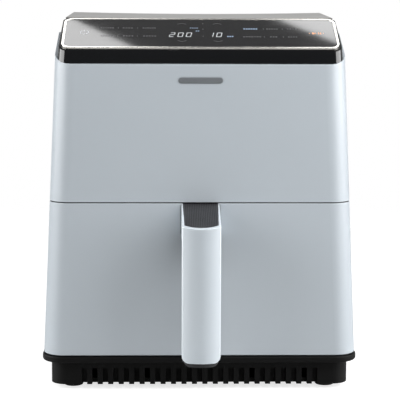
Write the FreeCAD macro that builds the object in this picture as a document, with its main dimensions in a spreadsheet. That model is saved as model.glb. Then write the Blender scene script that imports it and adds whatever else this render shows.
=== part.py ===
import FreeCAD, Part
import math
import os
import re
import Sketcher
from FreeCAD import Rotation, Vector

# Counter-top basket air fryer. +Z up, front faces -Y, origin on the table under the centre of the outline.
# Every alias in the sheet is a word with an underscore; lengths are millimetres and angles are degrees.
SIZES = {
    # painted housing, a box with rounded corners that narrows towards the top
    "shell_half": 141.8,
    "shell_front": -138.5,
    "shell_rear": 184.7,
    "shell_foot": 33,
    "shell_corner": 19.5,
    "side_draft": 2.54,
    "face_draft": 1.75,
    "shell_wall": 2.6,
    "loft_top": 345,
    "shoulder_height": 293.9,
    "shoulder_front": -130.5,
    # gloss black band and the sloping control panel on it
    "panel_slope": 25.65,
    "band_half": 127.45,
    "band_front": -128.5,
    "band_rear": 173.2,
    "band_draft": 3.7,
    "band_corner": 11,
    "band_chamfer": 0.9,
    "band_wall": 6,
    "band_roof": 2.5,
    "panel_front": -126.9,
    "panel_height": 307.5,
    "panel_half": 123.7,
    "panel_depth": 58.9,
    "ring_corner": 8.5,
    "ring_width": 2.3,
    "ring_rise": 1.7,
    "glass_rise": 1.4,
    "window_half": 112,
    "window_front": -117,
    "window_rear": -84,
    # top plate, which rises to a crest and sags across the middle
    "plate_half": 122.8,
    "plate_front": -73.2,
    "plate_rear": 171,
    "plate_crest": 42,
    "plate_seat": 333.15,
    "plate_edge": 335,
    "crest_height": 339.9,
    "plate_back": 337.6,
    "edge_dish": 0.6,
    "crest_dish": 1.5,
    "plate_skin": 1.8,
    "plate_corner": 3,
    # cover, grille and lead inlet in the back of the housing
    "cover_half": 108,
    "cover_low": 52,
    "cover_top": 300,
    "grille_half": 80,
    "grille_low": 180,
    "grille_slot": 4,
    "grille_span": 96,
    "inlet_side": 70,
    "inlet_height": 74,
    "inlet_flange": 9,
    "inlet_barrel": 6.2,
    "inlet_length": 12,
    "lead_radius": 3.6,
    # digit blocks, board and touch keys under the glass, measured in the panel's own plane
    "module_half": 60,
    "module_low": 14,
    "module_top": 42,
    "module_depth": 10,
    "digit_cell": 6,
    "board_half": 110,
    "board_low": 9,
    "board_top": 48,
    "board_drop": 12,
    "board_sheet": 1.6,
    "spring_radius": 2.2,
    "buzzer_side": 80,
    "buzzer_radius": 6,
    # badge
    "badge_half": 19.5,
    "badge_rise": 2.4,
    "badge_sheet": 0.7,
    "badge_drop": 13.6,
    # drawer
    "seam_height": 171.3,
    "seam_gap": 0.9,
    "drawer_foot": 33.1,
    "drawer_back": -101.8,
    "drawer_skin": 2.8,
    "basket_half": 112.5,
    "basket_rear": 137,
    "basket_foot": 41,
    "basket_rim": 158.2,
    "basket_corner": 22,
    "basket_wall": 1,
    "rim_width": 2.2,
    "rim_sheet": 1.2,
    "basket_round": 8,
    # crisper tray
    "tray_half": 106,
    "tray_front": -95,
    "tray_rear": 130.5,
    "tray_floor": 52,
    "tray_sheet": 1.6,
    "tray_lip": 6,
    "tray_corner": 16,
    "hole_pitch": 16,
    "hole_radius": 3.2,
    "bumper_sheet": 2,
    "bumper_width": 16,
    "bumper_inset": 40,
    # handle
    "handle_half": 17,
    "handle_front": -186,
    "handle_top": 170.8,
    "handle_slope": 16.3,
    "handle_bow": 5.4,
    "handle_corner": 6,
    "handle_end": 37.3,
    "handle_depth": 10,
    "liner_half": 15.6,
    "liner_back": -168.5,
    "liner_end": 33.8,
    "liner_set": 1.5,
    "arm_under": 136,
    "handle_round": 2.6,
    "handle_rim": 1.1,
    "arm_round": 14,
    "insert_half": 14.7,
    "insert_root": 15.9,
    "insert_reach": 51,
    "insert_bow": 5.2,
    "insert_depth": 1.8,
    "notch_depth": 2,
    "groove_width": 0.75,
    "groove_depth": 0.9,
    "groove_inset": 1.2,
    # base
    "lip_over": 1.3,
    "lip_low": 26.4,
    "lip_top": 32.4,
    "skirt_half": 135.3,
    "skirt_front": -130.5,
    "skirt_rear": 177,
    "skirt_low": 4.7,
    "skirt_corner": 14,
    "skirt_wall": 4,
    "vent_wall": 10,
    "vent_pitch": 9.524,
    "vent_slot": 4.9,
    "vent_top": 19.7,
    "vent_depth": 7,
    "foot_radius": 8.8,
    "foot_side": 115.7,
    "foot_front": -111,
    "foot_rear": 160,
    "floor_sheet": 2.2,
    # cooking cavity
    "cavity_half": 119,
    "cavity_front": -97.4,
    "cavity_rear": 146,
    "cavity_foot": 23,
    "cavity_roof": 207,
    "cavity_sheet": 0.8,
    "fascia_front": -100.6,
    "fascia_depth": 3,
    "mouth_half": 115.5,
    "mouth_low": 36.5,
    "mouth_top": 162,
    "rail_sheet": 1.2,
    "rail_leg": 9,
    # heaters, fans and motor, on one vertical axis
    "rotor_back": 24,
    "coil_radius": 3.2,
    "upper_coil": 180,
    "inner_loop": 60,
    "outer_loop": 84,
    "lower_coil": 31,
    "lower_loop": 92,
    "loop_corner": 22,
    "guard_level": 171,
    "guard_wire": 1.2,
    "guard_reach": 100,
    "guard_bar": 40,
    "shield_half": 116,
    "shield_front": -92,
    "shield_rear": 142,
    "shield_sheet": 3,
    "fan_radius": 70,
    "fan_low": 187,
    "fan_height": 13,
    "cooler_radius": 44,
    "cooler_height": 12,
    "shaft_radius": 4,
    "shaft_fit": 0.06,
    "motor_low": 236,
    "motor_radius": 30,
    "motor_height": 40,
    "bracket_radius": 56,
    "leg_inner": 49,
    "leg_outer": 52,
    "leg_half": 6,
    "screw_circle": 22,
    "screw_radius": 1.6,
    "screw_head": 1.9,
    "screw_length": 10,
    # power board behind the motor, and the drawer's switch
    "power_half": 70,
    "power_front": 152,
    "power_low": 215,
    "power_top": 290,
    "switch_side": 126,
    "switch_height": 128,
    "plunger_radius": 2,
    "plunger_length": 14,
    "fit_gap": 0.3,
}

SHEET_NAME = "Dims"
ALIAS = re.compile(r"\b[a-z]+(?:_[a-z]+)+\b")
THROUGH = 400.0
REAR_PLANE = "-(shell_rear - 40)"
REAR_DEPTH = 60
GUARD_RINGS = (30, 55, 80)

doc = FreeCAD.newDocument("BasketAirFryer")
nodes = {}


def make_sheet():
    sheet = doc.addObject("Spreadsheet::Sheet", SHEET_NAME)
    for row, (alias, value) in enumerate(SIZES.items(), 1):
        sheet.set(f"A{row}", alias)
        sheet.set(f"B{row}", str(value))
        sheet.setAlias(f"B{row}", alias)
    doc.recompute()
    return sheet


sheet = make_sheet()


def spell(expression):
    """Writes each alias in an expression as a reference to the sheet."""
    return ALIAS.sub(rf"{SHEET_NAME}.\g<0>", str(expression))


def size(expression):
    return float(sheet.evalExpression(spell(expression)))


def side_at(height):
    return f"(shell_half - tan(side_draft)*({height} - shell_foot))"


def front_at(height):
    return f"(shell_front + tan(face_draft)*({height} - shell_foot))"


def rear_at(height):
    return f"(shell_rear - tan(face_draft)*({height} - shell_foot))"


def shoulder_at(depth):
    """Height of the painted shell's top edge over a place on the front slope."""
    return f"(shoulder_height + tan(panel_slope)*({depth} - shoulder_front))"


# ---- document helpers ----------------------------------------------------------------------------


def register(thing, label):
    thing.Label = label
    nodes[label] = thing
    return thing


def new_body(label):
    return register(doc.addObject("PartDesign::Body", label), label)


def place(thing, x=0, y=0, z=0):
    for axis, expression in zip("xyz", (x, y, z)):
        thing.setExpression(f"Placement.Base.{axis}", spell(expression))
    return thing


def tilt(thing, way, angle):
    """Turns a body about +X (way 1) or -X (way -1) by an angle from the sheet."""
    thing.Placement = FreeCAD.Placement(Vector(), Rotation(Vector(way, 0, 0), 1))
    thing.setExpression("Placement.Rotation.Angle", spell(f"{angle} * 1 deg"))
    return thing


def on_panel(thing):
    """Puts a body that is modelled flat onto the sloping panel, its local +Y running up the slope."""
    return place(tilt(thing, 1, "panel_slope"), 0, "panel_front", "panel_height")


def new_sketch(body, plane, offset=0):
    """A sketch on XY (offset along +Z), XZ (offset along -Y) or YZ (offset along +X)."""
    sketch = body.newObject("Sketcher::SketchObject", f"{body.Name}_Sketch")
    base = next(feature for feature in body.Origin.OriginFeatures if feature.Role == f"{plane}_Plane")
    sketch.AttachmentSupport = [(base, "")]
    sketch.MapMode = "FlatFace"
    sketch.setExpression("AttachmentOffset.Base.z", spell(offset))
    return sketch


def pin_point(sketch, edge, end, x, y):
    """Holds one end of a line, or the centre of a circle (end 3), at a place given by two expressions."""
    for kind, expression in (("DistanceX", x), ("DistanceY", y)):
        number = sketch.addConstraint(Sketcher.Constraint(kind, -1, 1, edge, end, size(expression)))
        sketch.setExpression(f"Constraints[{number}]", spell(expression))


def add_circle(sketch, x, y, radius):
    centre = Vector(size(x), size(y), 0)
    edge = sketch.addGeometry(Part.Circle(centre, Vector(0, 0, 1), size(radius)), False)
    pin_point(sketch, edge, 3, x, y)
    number = sketch.addConstraint(Sketcher.Constraint("Radius", edge, size(radius)))
    sketch.setExpression(f"Constraints[{number}]", spell(radius))


def add_polygon(sketch, points):
    corners = [Vector(size(x), size(y), 0) for x, y in points]
    count = len(corners)
    first = sketch.GeometryCount
    for index in range(count):
        sketch.addGeometry(Part.LineSegment(corners[index], corners[(index + 1) % count]), False)
    for index in range(count):
        following = first + (index + 1) % count
        sketch.addConstraint(Sketcher.Constraint("Coincident", first + index, 2, following, 1))
    for index, (x, y) in enumerate(points):
        pin_point(sketch, first + index, 1, x, y)


def add_rectangle(sketch, x_low, y_low, x_high, y_high):
    add_polygon(sketch, [(x_low, y_low), (x_high, y_low), (x_high, y_high), (x_low, y_high)])


def add_arched(sketch, half, flat, arched, rise, flat_half=None):
    """Two straight sides, a straight end, and an end that is an arc with its middle off by rise."""
    flat_half = flat_half or half
    wide, root, low, high, bow = (size(value) for value in (half, flat_half, flat, arched, rise))
    corners = [Vector(-wide, high, 0), Vector(-root, low, 0), Vector(root, low, 0), Vector(wide, high, 0)]
    first = sketch.GeometryCount
    for start, end in zip(corners, corners[1:]):
        sketch.addGeometry(Part.LineSegment(start, end), False)
    arc = sketch.addGeometry(Part.Arc(corners[3], Vector(0, high + bow, 0), corners[0]), False)
    for line in (first, first + 1):
        sketch.addConstraint(Sketcher.Constraint("Coincident", line, 2, line + 1, 1))
    for line, end, x, y in (
        (first, 1, f"-({half})", arched),
        (first + 1, 1, f"-({flat_half})", flat),
        (first + 2, 1, flat_half, flat),
        (first + 2, 2, half, arched),
    ):
        pin_point(sketch, line, end, x, y)
    for line, end, corner in ((first + 2, 2, corners[3]), (first, 1, corners[0])):
        arc_end = 1 if sketch.getPoint(arc, 1).distanceToPoint(corner) < 1e-3 else 2
        sketch.addConstraint(Sketcher.Constraint("Coincident", line, end, arc, arc_end))
    number = sketch.addConstraint(Sketcher.Constraint("Radius", arc, sketch.Geometry[arc].Radius))
    radius = f"(({half})*({half}) + ({rise})*({rise})) / (2*abs({rise}))"
    sketch.setExpression(f"Constraints[{number}]", spell(radius))


def add_rounded(sketch, x_low, y_low, x_high, y_high, radius):
    """A rounded rectangle: four straight sides held in place and four tangent corner arcs."""
    x0, y0, x1, y1, r = (size(value) for value in (x_low, y_low, x_high, y_high, radius))
    sides = [
        ((x0 + r, y0), (x1 - r, y0)),
        ((x1, y0 + r), (x1, y1 - r)),
        ((x1 - r, y1), (x0 + r, y1)),
        ((x0, y1 - r), (x0, y0 + r)),
    ]
    centres = [(x1 - r, y0 + r), (x1 - r, y1 - r), (x0 + r, y1 - r), (x0 + r, y0 + r)]
    first = sketch.GeometryCount
    for index, (start, end) in enumerate(sides):
        sketch.addGeometry(Part.LineSegment(Vector(*start, 0), Vector(*end, 0)), False)
        circle = Part.Circle(Vector(*centres[index], 0), Vector(0, 0, 1), r)
        turn = (index - 1) * math.pi / 2
        sketch.addGeometry(Part.ArcOfCircle(circle, turn, turn + math.pi / 2), False)
    for index in range(4):
        line = first + 2 * index
        arc = line + 1
        following = first + (2 * index + 2) % 8
        sketch.addConstraint(Sketcher.Constraint("Tangent", line, 2, arc, 1))
        sketch.addConstraint(Sketcher.Constraint("Tangent", arc, 2, following, 1))
        sketch.addConstraint(Sketcher.Constraint(("Horizontal", "Vertical")[index % 2], line))
    for index in range(1, 4):
        sketch.addConstraint(Sketcher.Constraint("Equal", first + 1, first + 2 * index + 1))
    number = sketch.addConstraint(Sketcher.Constraint("Radius", first + 1, r))
    sketch.setExpression(f"Constraints[{number}]", spell(radius))
    for index, kind, expression in (
        (0, "DistanceY", y_low),
        (1, "DistanceX", x_high),
        (2, "DistanceY", y_high),
        (3, "DistanceX", x_low),
    ):
        line = first + 2 * index
        number = sketch.addConstraint(Sketcher.Constraint(kind, -1, 1, line, 1, size(expression)))
        sketch.setExpression(f"Constraints[{number}]", spell(expression))


def extrude(body, kind, sketch, length, midplane=False, backwards=False):
    """A Pad or a Pocket. A Pad leaves the sketch along its normal, and a Pocket against it."""
    feature = body.newObject(f"PartDesign::{kind}", f"{body.Name}_{kind}")
    feature.Profile = sketch
    feature.setExpression("Length", spell(length))
    feature.SideType = "Symmetric" if midplane else "One side"
    feature.Reversed = backwards
    return feature


def pad(body, sketch, length, **options):
    return extrude(body, "Pad", sketch, length, **options)


def pocket(body, sketch, length, **options):
    return extrude(body, "Pocket", sketch, length, **options)


def loft(body, kind, sketches, ruled=True):
    feature = body.newObject(f"PartDesign::{kind}Loft", f"{body.Name}_Loft")
    feature.Profile = sketches[0]
    feature.Sections = sketches[1:]
    feature.Ruled = ruled
    return feature


def shell_loft(body, kind, low, high, inset):
    """The housing's tapered outline between two heights, drawn in by an inset."""
    sketches = []
    for height in (low, high):
        sketch = new_sketch(body, "XY", height)
        half = f"({side_at(height)} - ({inset}))"
        front = f"{front_at(height)} + ({inset})"
        rear = f"{rear_at(height)} - ({inset})"
        add_rounded(sketch, f"-{half}", front, half, rear, f"shell_corner - ({inset})")
        sketches.append(sketch)
    return loft(body, kind, sketches)


def dress(body, kind, amount, chosen):
    """A Fillet or a Chamfer on the edges of the body that pass a test."""
    doc.recompute()
    base = body.Tip
    names = [f"Edge{number}" for number, edge in enumerate(base.Shape.Edges, 1) if chosen(edge)]
    if not names:
        raise ValueError(f"{body.Label}: no edge was chosen for a {kind}")
    feature = body.newObject(f"PartDesign::{kind}", f"{body.Name}_{kind}")
    feature.Base = (base, names)
    feature.setExpression("Radius" if kind == "Fillet" else "Size", spell(amount))
    return feature


def repeat(body, original, direction, length, count):
    feature = body.newObject("PartDesign::LinearPattern", f"{body.Name}_Row")
    feature.Originals = [original]
    feature.Direction = direction
    feature.setExpression("Length", spell(length))
    feature.Occurrences = count
    body.Tip = feature
    return feature


def turn_about(body, original, sketch, count):
    feature = body.newObject("PartDesign::PolarPattern", f"{body.Name}_Ring")
    feature.Originals = [original]
    feature.Axis = (sketch, ["N_Axis"])
    feature.Angle = 360
    feature.Occurrences = count
    body.Tip = feature
    return feature


def box(name, low, high):
    """A Part::Box between two corners, each a tuple of three expressions."""
    thing = doc.addObject("Part::Box", name)
    for dimension, start, end in zip(("Length", "Width", "Height"), low, high):
        thing.setExpression(dimension, spell(f"({end}) - ({start})"))
    return place(thing, *low)


def cylinder(name, radius, height, x, y, z, axis=(0, 0, 1)):
    thing = doc.addObject("Part::Cylinder", name)
    thing.setExpression("Radius", spell(radius))
    thing.setExpression("Height", spell(height))
    thing.Placement = FreeCAD.Placement(Vector(), Rotation(Vector(0, 0, 1), Vector(*axis)))
    return place(thing, x, y, z)


def torus(name, ring, tube, x, y, z):
    thing = doc.addObject("Part::Torus", name)
    thing.setExpression("Radius1", spell(ring))
    thing.setExpression("Radius2", spell(tube))
    return place(thing, x, y, z)


def fuse(label, shapes):
    thing = doc.addObject("Part::MultiFuse", label)
    thing.Shapes = shapes
    return thing


def cut(label, base, tool):
    thing = doc.addObject("Part::Cut", label)
    thing.Base = base
    thing.Tool = tool
    return thing


def group(label, members):
    thing = doc.addObject("Part::Compound", label)
    thing.Links = members
    return register(thing, label)


# ---- edge tests ----------------------------------------------------------------------------------


def is_upright(edge):
    ends = edge.Vertexes
    if len(ends) != 2:
        return False
    step = ends[1].Point - ends[0].Point
    return abs(step.z) > 0.9 * step.Length


def lies_at(edge, height, slack=0.05):
    box_now = edge.BoundBox
    return abs(box_now.ZMin - height) < slack and abs(box_now.ZMax - height) < slack


def runs_across(edge, y, z, slack=0.5):
    """An edge along X at one place of the side view."""
    box_now = edge.BoundBox
    middle = box_now.Center
    level = box_now.YLength < slack and box_now.ZLength < slack
    return level and math.hypot(middle.y - y, middle.z - z) < slack


# ---- housing -------------------------------------------------------------------------------------


def make_upper_shell():
    body = new_body("upper_shell")
    shell_loft(body, "Additive", "lip_top", "loft_top", 0)
    shell_loft(body, "Subtractive", "lip_top", "loft_top", "shell_wall")
    over = new_sketch(body, "YZ")
    add_polygon(
        over,
        [
            ("shell_front - 20", shoulder_at("(shell_front - 20)")),
            ("plate_front", shoulder_at("plate_front")),
            ("shell_rear + 20", shoulder_at("plate_front")),
            ("shell_rear + 20", "loft_top + 20"),
            ("shell_front - 20", "loft_top + 20"),
        ],
    )
    pocket(body, over, THROUGH, midplane=True)
    mouth = new_sketch(body, "YZ")
    add_rectangle(mouth, "shell_front - 20", "shell_foot - 10", "drawer_back + 0.8", "seam_height + seam_gap")
    pocket(body, mouth, THROUGH, midplane=True)
    window = new_sketch(body, "XZ", REAR_PLANE)
    add_rectangle(window, "-cover_half", "cover_low - fit_gap", "cover_half", "cover_top + fit_gap")
    pocket(body, window, REAR_DEPTH)
    return body


def make_rear_cover():
    body = new_body("rear_cover")
    side = new_sketch(body, "YZ")
    low, high = "cover_low", "cover_top"
    add_polygon(
        side,
        [
            (f"{rear_at(low)} - shell_wall", low),
            (rear_at(low), low),
            (rear_at(high), high),
            (f"{rear_at(high)} - shell_wall", high),
        ],
    )
    pad(body, side, "2*(cover_half - fit_gap)", midplane=True)
    slot = new_sketch(body, "XZ", REAR_PLANE)
    slot_top = "grille_low + grille_slot"
    add_rounded(slot, "-grille_half", "grille_low", "grille_half", slot_top, "grille_slot/2 - 0.1")
    first = pocket(body, slot, REAR_DEPTH)
    repeat(body, first, (slot, ["V_Axis"]), "grille_span", 13)
    gland = new_sketch(body, "XZ", REAR_PLANE)
    add_circle(gland, "inlet_side", "inlet_height", "inlet_barrel + 0.1")
    pocket(body, gland, REAR_DEPTH)
    return body


def make_cord_inlet():
    """A flanged bushing for a fixed lead, with the lead's bore left empty."""
    seat = rear_at("(inlet_height - inlet_flange)")
    proud = f"shell_rear + lip_over - 0.1 - {seat}"
    inner = f"{seat} - inlet_length"
    collar, barrel, bore = (
        cylinder(name, radius, length, "inlet_side", start, "inlet_height", (0, 1, 0))
        for name, radius, length, start in (
            ("InletFlange", "inlet_flange", proud, seat),
            ("InletBarrel", "inlet_barrel", "inlet_length", inner),
            ("InletBore", "lead_radius", "4*inlet_length", f"{inner} - inlet_length"),
        )
    )
    return register(cut("InletCut", fuse("InletSolid", [collar, barrel]), bore), "cord_inlet")


def make_cavity_fascia():
    """Dark frame round the drawer opening, with a ledge that closes the upper shell from below."""
    body = new_body("cavity_fascia")
    ledge_low = "(seam_height + seam_gap + 0.1)"
    inset = "(shell_wall + 0.2)"
    shell_loft(body, "Additive", ledge_low, f"({ledge_low} + 2.5)", inset)
    behind = new_sketch(body, "YZ")
    add_rectangle(behind, "fascia_front + fascia_depth", "100", "shell_rear + 20", "250")
    pocket(body, behind, THROUGH, midplane=True)
    frame = new_sketch(body, "XZ", "-fascia_front")
    low = "(lip_top + 0.2)"
    add_polygon(
        frame,
        [
            (f"-({side_at(low)} - {inset})", low),
            (f"{side_at(low)} - {inset}", low),
            (f"{side_at(ledge_low)} - {inset}", ledge_low),
            (f"-({side_at(ledge_low)} - {inset})", ledge_low),
        ],
    )
    pad(body, frame, "fascia_depth", backwards=True)
    opening = new_sketch(body, "XZ", "-(fascia_front - 2)")
    add_rounded(opening, "-mouth_half", "mouth_low", "mouth_half", "mouth_top", "4")
    pocket(body, opening, "10")
    return body


def make_top_band():
    body = new_body("top_band")
    rear_low = shoulder_at("plate_front")
    side = new_sketch(body, "YZ")
    add_polygon(
        side,
        [
            ("band_front", shoulder_at("band_front")),
            ("plate_front", rear_low),
            ("band_rear", rear_low),
            ("band_rear", "plate_seat"),
            ("plate_front", "plate_seat"),
            ("band_front", "plate_seat - tan(panel_slope)*(plate_front - band_front)"),
        ],
    )
    pad(body, side, "2*band_half", midplane=True)
    beside = new_sketch(body, "XZ")
    for way in (-1, 1):
        top_half = f"{way}*(band_half - tan(band_draft)*(loft_top - shoulder_height))"
        low_half = f"{way}*(band_half + tan(band_draft)*10)"
        outside = f"{way}*(band_half + 10)"
        corners = [(low_half, "shoulder_height - 10"), (top_half, "loft_top"), (outside, "loft_top")]
        add_polygon(beside, corners + [(outside, "shoulder_height - 10")])
    pocket(body, beside, THROUGH, midplane=True)
    dress(body, "Fillet", "band_corner", is_upright)
    half = size("band_half")
    front = size("band_front")
    rear = size("band_rear")
    seat = size("plate_seat")
    slope = math.tan(math.radians(size("panel_slope")))
    middle = size("plate_front")

    def on_top_rim(edge):
        point = edge.BoundBox.Center
        top = seat - slope * max(0, middle - point.y)
        outer = abs(point.x) > half - 4 or point.y < front + 4 or point.y > rear - 4
        return outer and abs(point.z - top) < 0.6 and not is_upright(edge)

    dress(body, "Chamfer", "band_chamfer", on_top_rim)
    hollow = new_sketch(body, "YZ")
    roof = "(plate_seat - band_roof)"
    add_polygon(
        hollow,
        [
            ("band_front + band_wall", "shoulder_height - 30"),
            ("band_rear - band_wall", "shoulder_height - 30"),
            ("band_rear - band_wall", roof),
            ("plate_front", roof),
            ("band_front + band_wall", f"{roof} - tan(panel_slope)*(plate_front - band_front - band_wall)"),
        ],
    )
    pocket(body, hollow, "2*(band_half - band_wall)", midplane=True)
    window = new_sketch(body, "XY", "shoulder_height")
    add_rectangle(window, "-window_half", "window_front", "window_half", "window_rear")
    pocket(body, window, "60", backwards=True)
    return body


def make_top_plate():
    """Rises to a crest, falls away behind it, sags across the middle, and is hollow underneath."""
    body = new_body("top_plate")
    stations = (
        ("plate_front", "plate_edge", "edge_dish"),
        ("plate_crest", "crest_height", "crest_dish"),
        ("plate_rear", "plate_back", "edge_dish"),
    )
    for near, far in zip(stations, stations[1:]):
        loft(body, "Additive", [plate_section(body, *near), plate_section(body, *far)])
    outline = new_sketch(body, "XY", "loft_top")
    add_rectangle(outline, -200, "plate_front - 20", 200, "plate_rear + 20")
    add_rounded(outline, "-plate_half", "plate_front", "plate_half", "plate_rear", "plate_corner")
    pocket(body, outline, 60)
    hollow = new_sketch(body, "YZ")
    drop = "(crest_dish + plate_skin)"
    front, rear = "(plate_front + plate_skin)", "(plate_rear - plate_skin)"
    add_polygon(
        hollow,
        [
            (front, "plate_seat - 5"),
            (front, f"plate_edge - {drop} + 0.5"),
            ("plate_crest", f"crest_height - {drop}"),
            (rear, f"plate_back - {drop}"),
            (rear, "plate_seat - 5"),
        ],
    )
    pocket(body, hollow, "2*(plate_half - plate_skin)", midplane=True)
    return body


def plate_section(body, depth, height, dish):
    """Cross-section of the top plate at one depth, from its seat up to its sagging top edge."""
    sketch = new_sketch(body, "XZ", f"-({depth})")
    add_arched(sketch, "plate_half", "plate_seat", height, f"-{dish}")
    return sketch


# ---- control panel, modelled flat and laid on the slope ------------------------------------------


def make_panel_ring():
    body = new_body("panel_ring")
    outline = new_sketch(body, "XY")
    add_rounded(outline, "-panel_half", "0", "panel_half", "panel_depth", "ring_corner")
    inner = "panel_half - ring_width"
    add_rounded(
        outline, f"-({inner})", "ring_width", inner, "panel_depth - ring_width", "ring_corner - ring_width"
    )
    pad(body, outline, "ring_rise")
    rise = size("ring_rise")
    dress(body, "Fillet", "0.4", lambda edge: lies_at(edge, rise))
    return on_panel(body)


def make_control_glass():
    body = new_body("control_glass")
    outline = new_sketch(body, "XY")
    inset = "(ring_width + 0.1)"
    half = f"(panel_half - {inset})"
    add_rounded(outline, f"-{half}", inset, half, f"panel_depth - {inset}", "ring_corner - ring_width")
    pad(body, outline, "glass_rise")
    return on_panel(body)


def make_display_module():
    """Light guides and digit blocks between the board and the glass."""
    body = new_body("display_module")
    outline = new_sketch(body, "XY", "-module_depth - fit_gap")
    add_rectangle(outline, "-module_half", "module_low", "module_half", "module_top")
    pad(body, outline, "module_depth")
    cell = new_sketch(body, "XY", "-fit_gap")
    left = "(4 - module_half)"
    add_rectangle(cell, left, "module_low + 4", f"{left} + digit_cell", "module_top - 4")
    first = pocket(body, cell, "module_depth - 2")
    repeat(body, first, (cell, ["H_Axis"]), "2*module_half - 10 - digit_cell", 14)
    return on_panel(body)


def make_display_board():
    body = new_body("display_board")
    outline = new_sketch(body, "XY", "-board_drop")
    add_rounded(outline, "-board_half", "board_low", "board_half", "board_top", 2)
    pad(body, outline, "board_sheet")
    return on_panel(body)


def make_touch_springs():
    """One contact spring under each touch key, shown as a slim post."""
    posts = []
    length, seat = "module_depth + 0.2", "-module_depth - fit_gap"
    for number, x in enumerate((-104, -92, -80, -68, 68, 80, 92, 104)):
        for row, y in enumerate((20, 36)):
            name = f"TouchSpring{number}{row}"
            posts.append(cylinder(name, "spring_radius", length, x, y, seat))
    return on_panel(group("touch_springs", posts))


def make_buzzer():
    body = new_body("buzzer")
    outline = new_sketch(body, "XY", "-board_drop - buzzer_radius")
    add_circle(outline, "buzzer_side", "(board_low + board_top)/2 - 0.5", "buzzer_radius")
    pad(body, outline, "buzzer_radius - 0.1")
    return on_panel(body)


def make_badge():
    """A plain pill-shaped plate in the middle of the upper front."""
    body = new_body("badge")
    outline = new_sketch(body, "XZ")
    add_rounded(outline, "-badge_half", "-badge_rise", "badge_half", "badge_rise", "badge_rise - 0.1")
    pad(body, outline, "badge_sheet")
    front = size("badge_sheet")
    dress(body, "Fillet", 0.3, lambda edge: edge.BoundBox.YMax < 0.05 - front)
    height = "(shoulder_height - badge_drop)"
    return place(tilt(body, -1, "face_draft"), 0, front_at(height), height)


# ---- base ----------------------------------------------------------------------------------------


def make_base_ring():
    """Overhanging lip and set-back skirt, with a row of upright ventilation slots across the front."""
    body = new_body("base_ring")
    lip = new_sketch(body, "XY", "lip_low")
    half = "(shell_half + lip_over)"
    front, rear = "shell_front - lip_over", "shell_rear + lip_over"
    add_rounded(lip, f"-{half}", front, half, rear, "shell_corner + lip_over")
    pad(body, lip, "lip_top - lip_low")
    low, top = size("lip_low"), size("lip_top")
    dress(body, "Fillet", "1.6", lambda edge: lies_at(edge, low) or lies_at(edge, top))
    skirt = new_sketch(body, "XY", "skirt_low")
    add_rounded(skirt, "-skirt_half", "skirt_front", "skirt_half", "skirt_rear", "skirt_corner")
    pad(body, skirt, "lip_low - skirt_low + 0.5")
    inside = new_sketch(body, "XY", "lip_top")
    inner = "(skirt_half - skirt_wall)"
    add_rounded(
        inside,
        f"-{inner}",
        "skirt_front + vent_wall",
        inner,
        "skirt_rear - skirt_wall",
        "skirt_corner - skirt_wall",
    )
    pocket(body, inside, "lip_top")
    slot = new_sketch(body, "XZ", "-skirt_front")
    add_rectangle(
        slot, "-11*vent_pitch - vent_slot/2", "skirt_low - 2", "-11*vent_pitch + vent_slot/2", "vent_top"
    )
    first = pocket(body, slot, "vent_depth")
    repeat(body, first, (slot, ["H_Axis"]), "22*vent_pitch", 23)
    for column in (-10, -5, 5, 10):
        open_slot = new_sketch(body, "XZ", "-skirt_front")
        centre = f"{column}*vent_pitch"
        add_rectangle(
            open_slot, f"{centre} - vent_slot/2", "skirt_low + 4", f"{centre} + vent_slot/2", "vent_top"
        )
        pocket(body, open_slot, "vent_wall + 2")
    return body


def make_bottom_plate():
    body = new_body("bottom_plate")
    outline = new_sketch(body, "XY", "skirt_low")
    inset = "(skirt_wall + 0.2)"
    half = f"(skirt_half - {inset})"
    add_rounded(
        outline,
        f"-{half}",
        "skirt_front + vent_wall + 0.2",
        half,
        f"skirt_rear - {inset}",
        f"skirt_corner - {inset}",
    )
    pad(body, outline, "floor_sheet")
    vent = new_sketch(body, "XY", "skirt_low + floor_sheet")
    add_rounded(vent, "-60", "-60", "60", "-54", "2.9")
    first = pocket(body, vent, "floor_sheet + 2")
    repeat(body, first, (vent, ["V_Axis"]), "160", 13)
    return body


def make_feet():
    for label, x, y in (
        ("foot_front_left", "-foot_side", "foot_front"),
        ("foot_front_right", "foot_side", "foot_front"),
        ("foot_rear_left", "-foot_side", "foot_rear"),
        ("foot_rear_right", "foot_side", "foot_rear"),
    ):
        body = new_body(label)
        outline = new_sketch(body, "XY")
        add_circle(outline, "0", "0", "foot_radius")
        pad(body, outline, "skirt_low")
        dress(body, "Fillet", "1", lambda edge: lies_at(edge, 0))
        place(body, x, y, 0)


# ---- drawer --------------------------------------------------------------------------------------


def make_drawer_front():
    """The lower front of the housing, wrapping both corners, hollow from behind."""
    body = new_body("drawer_front")
    shell_loft(body, "Additive", "drawer_foot", "seam_height", 0)
    behind = new_sketch(body, "YZ")
    add_rectangle(behind, "drawer_back", "0", "shell_rear + 20", "250")
    pocket(body, behind, THROUGH, midplane=True)
    foot, top = size("drawer_foot"), size("seam_height")
    back = size("drawer_back")

    def on_face_rim(edge):
        box_now = edge.BoundBox
        level = lies_at(edge, foot) or lies_at(edge, top)
        return level and box_now.YMin < back - 1

    dress(body, "Fillet", "0.8", on_face_rim)
    low, high = "(drawer_foot + drawer_skin)", "(seam_height - drawer_skin)"
    shell_loft(body, "Subtractive", low, high, "drawer_skin")
    notch = sketch_on_slope(body)
    add_rectangle(notch, "-insert_root - 0.1", -5, "insert_root + 0.1", "notch_depth")
    pocket(body, notch, "2*insert_depth", midplane=True)
    return body


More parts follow.
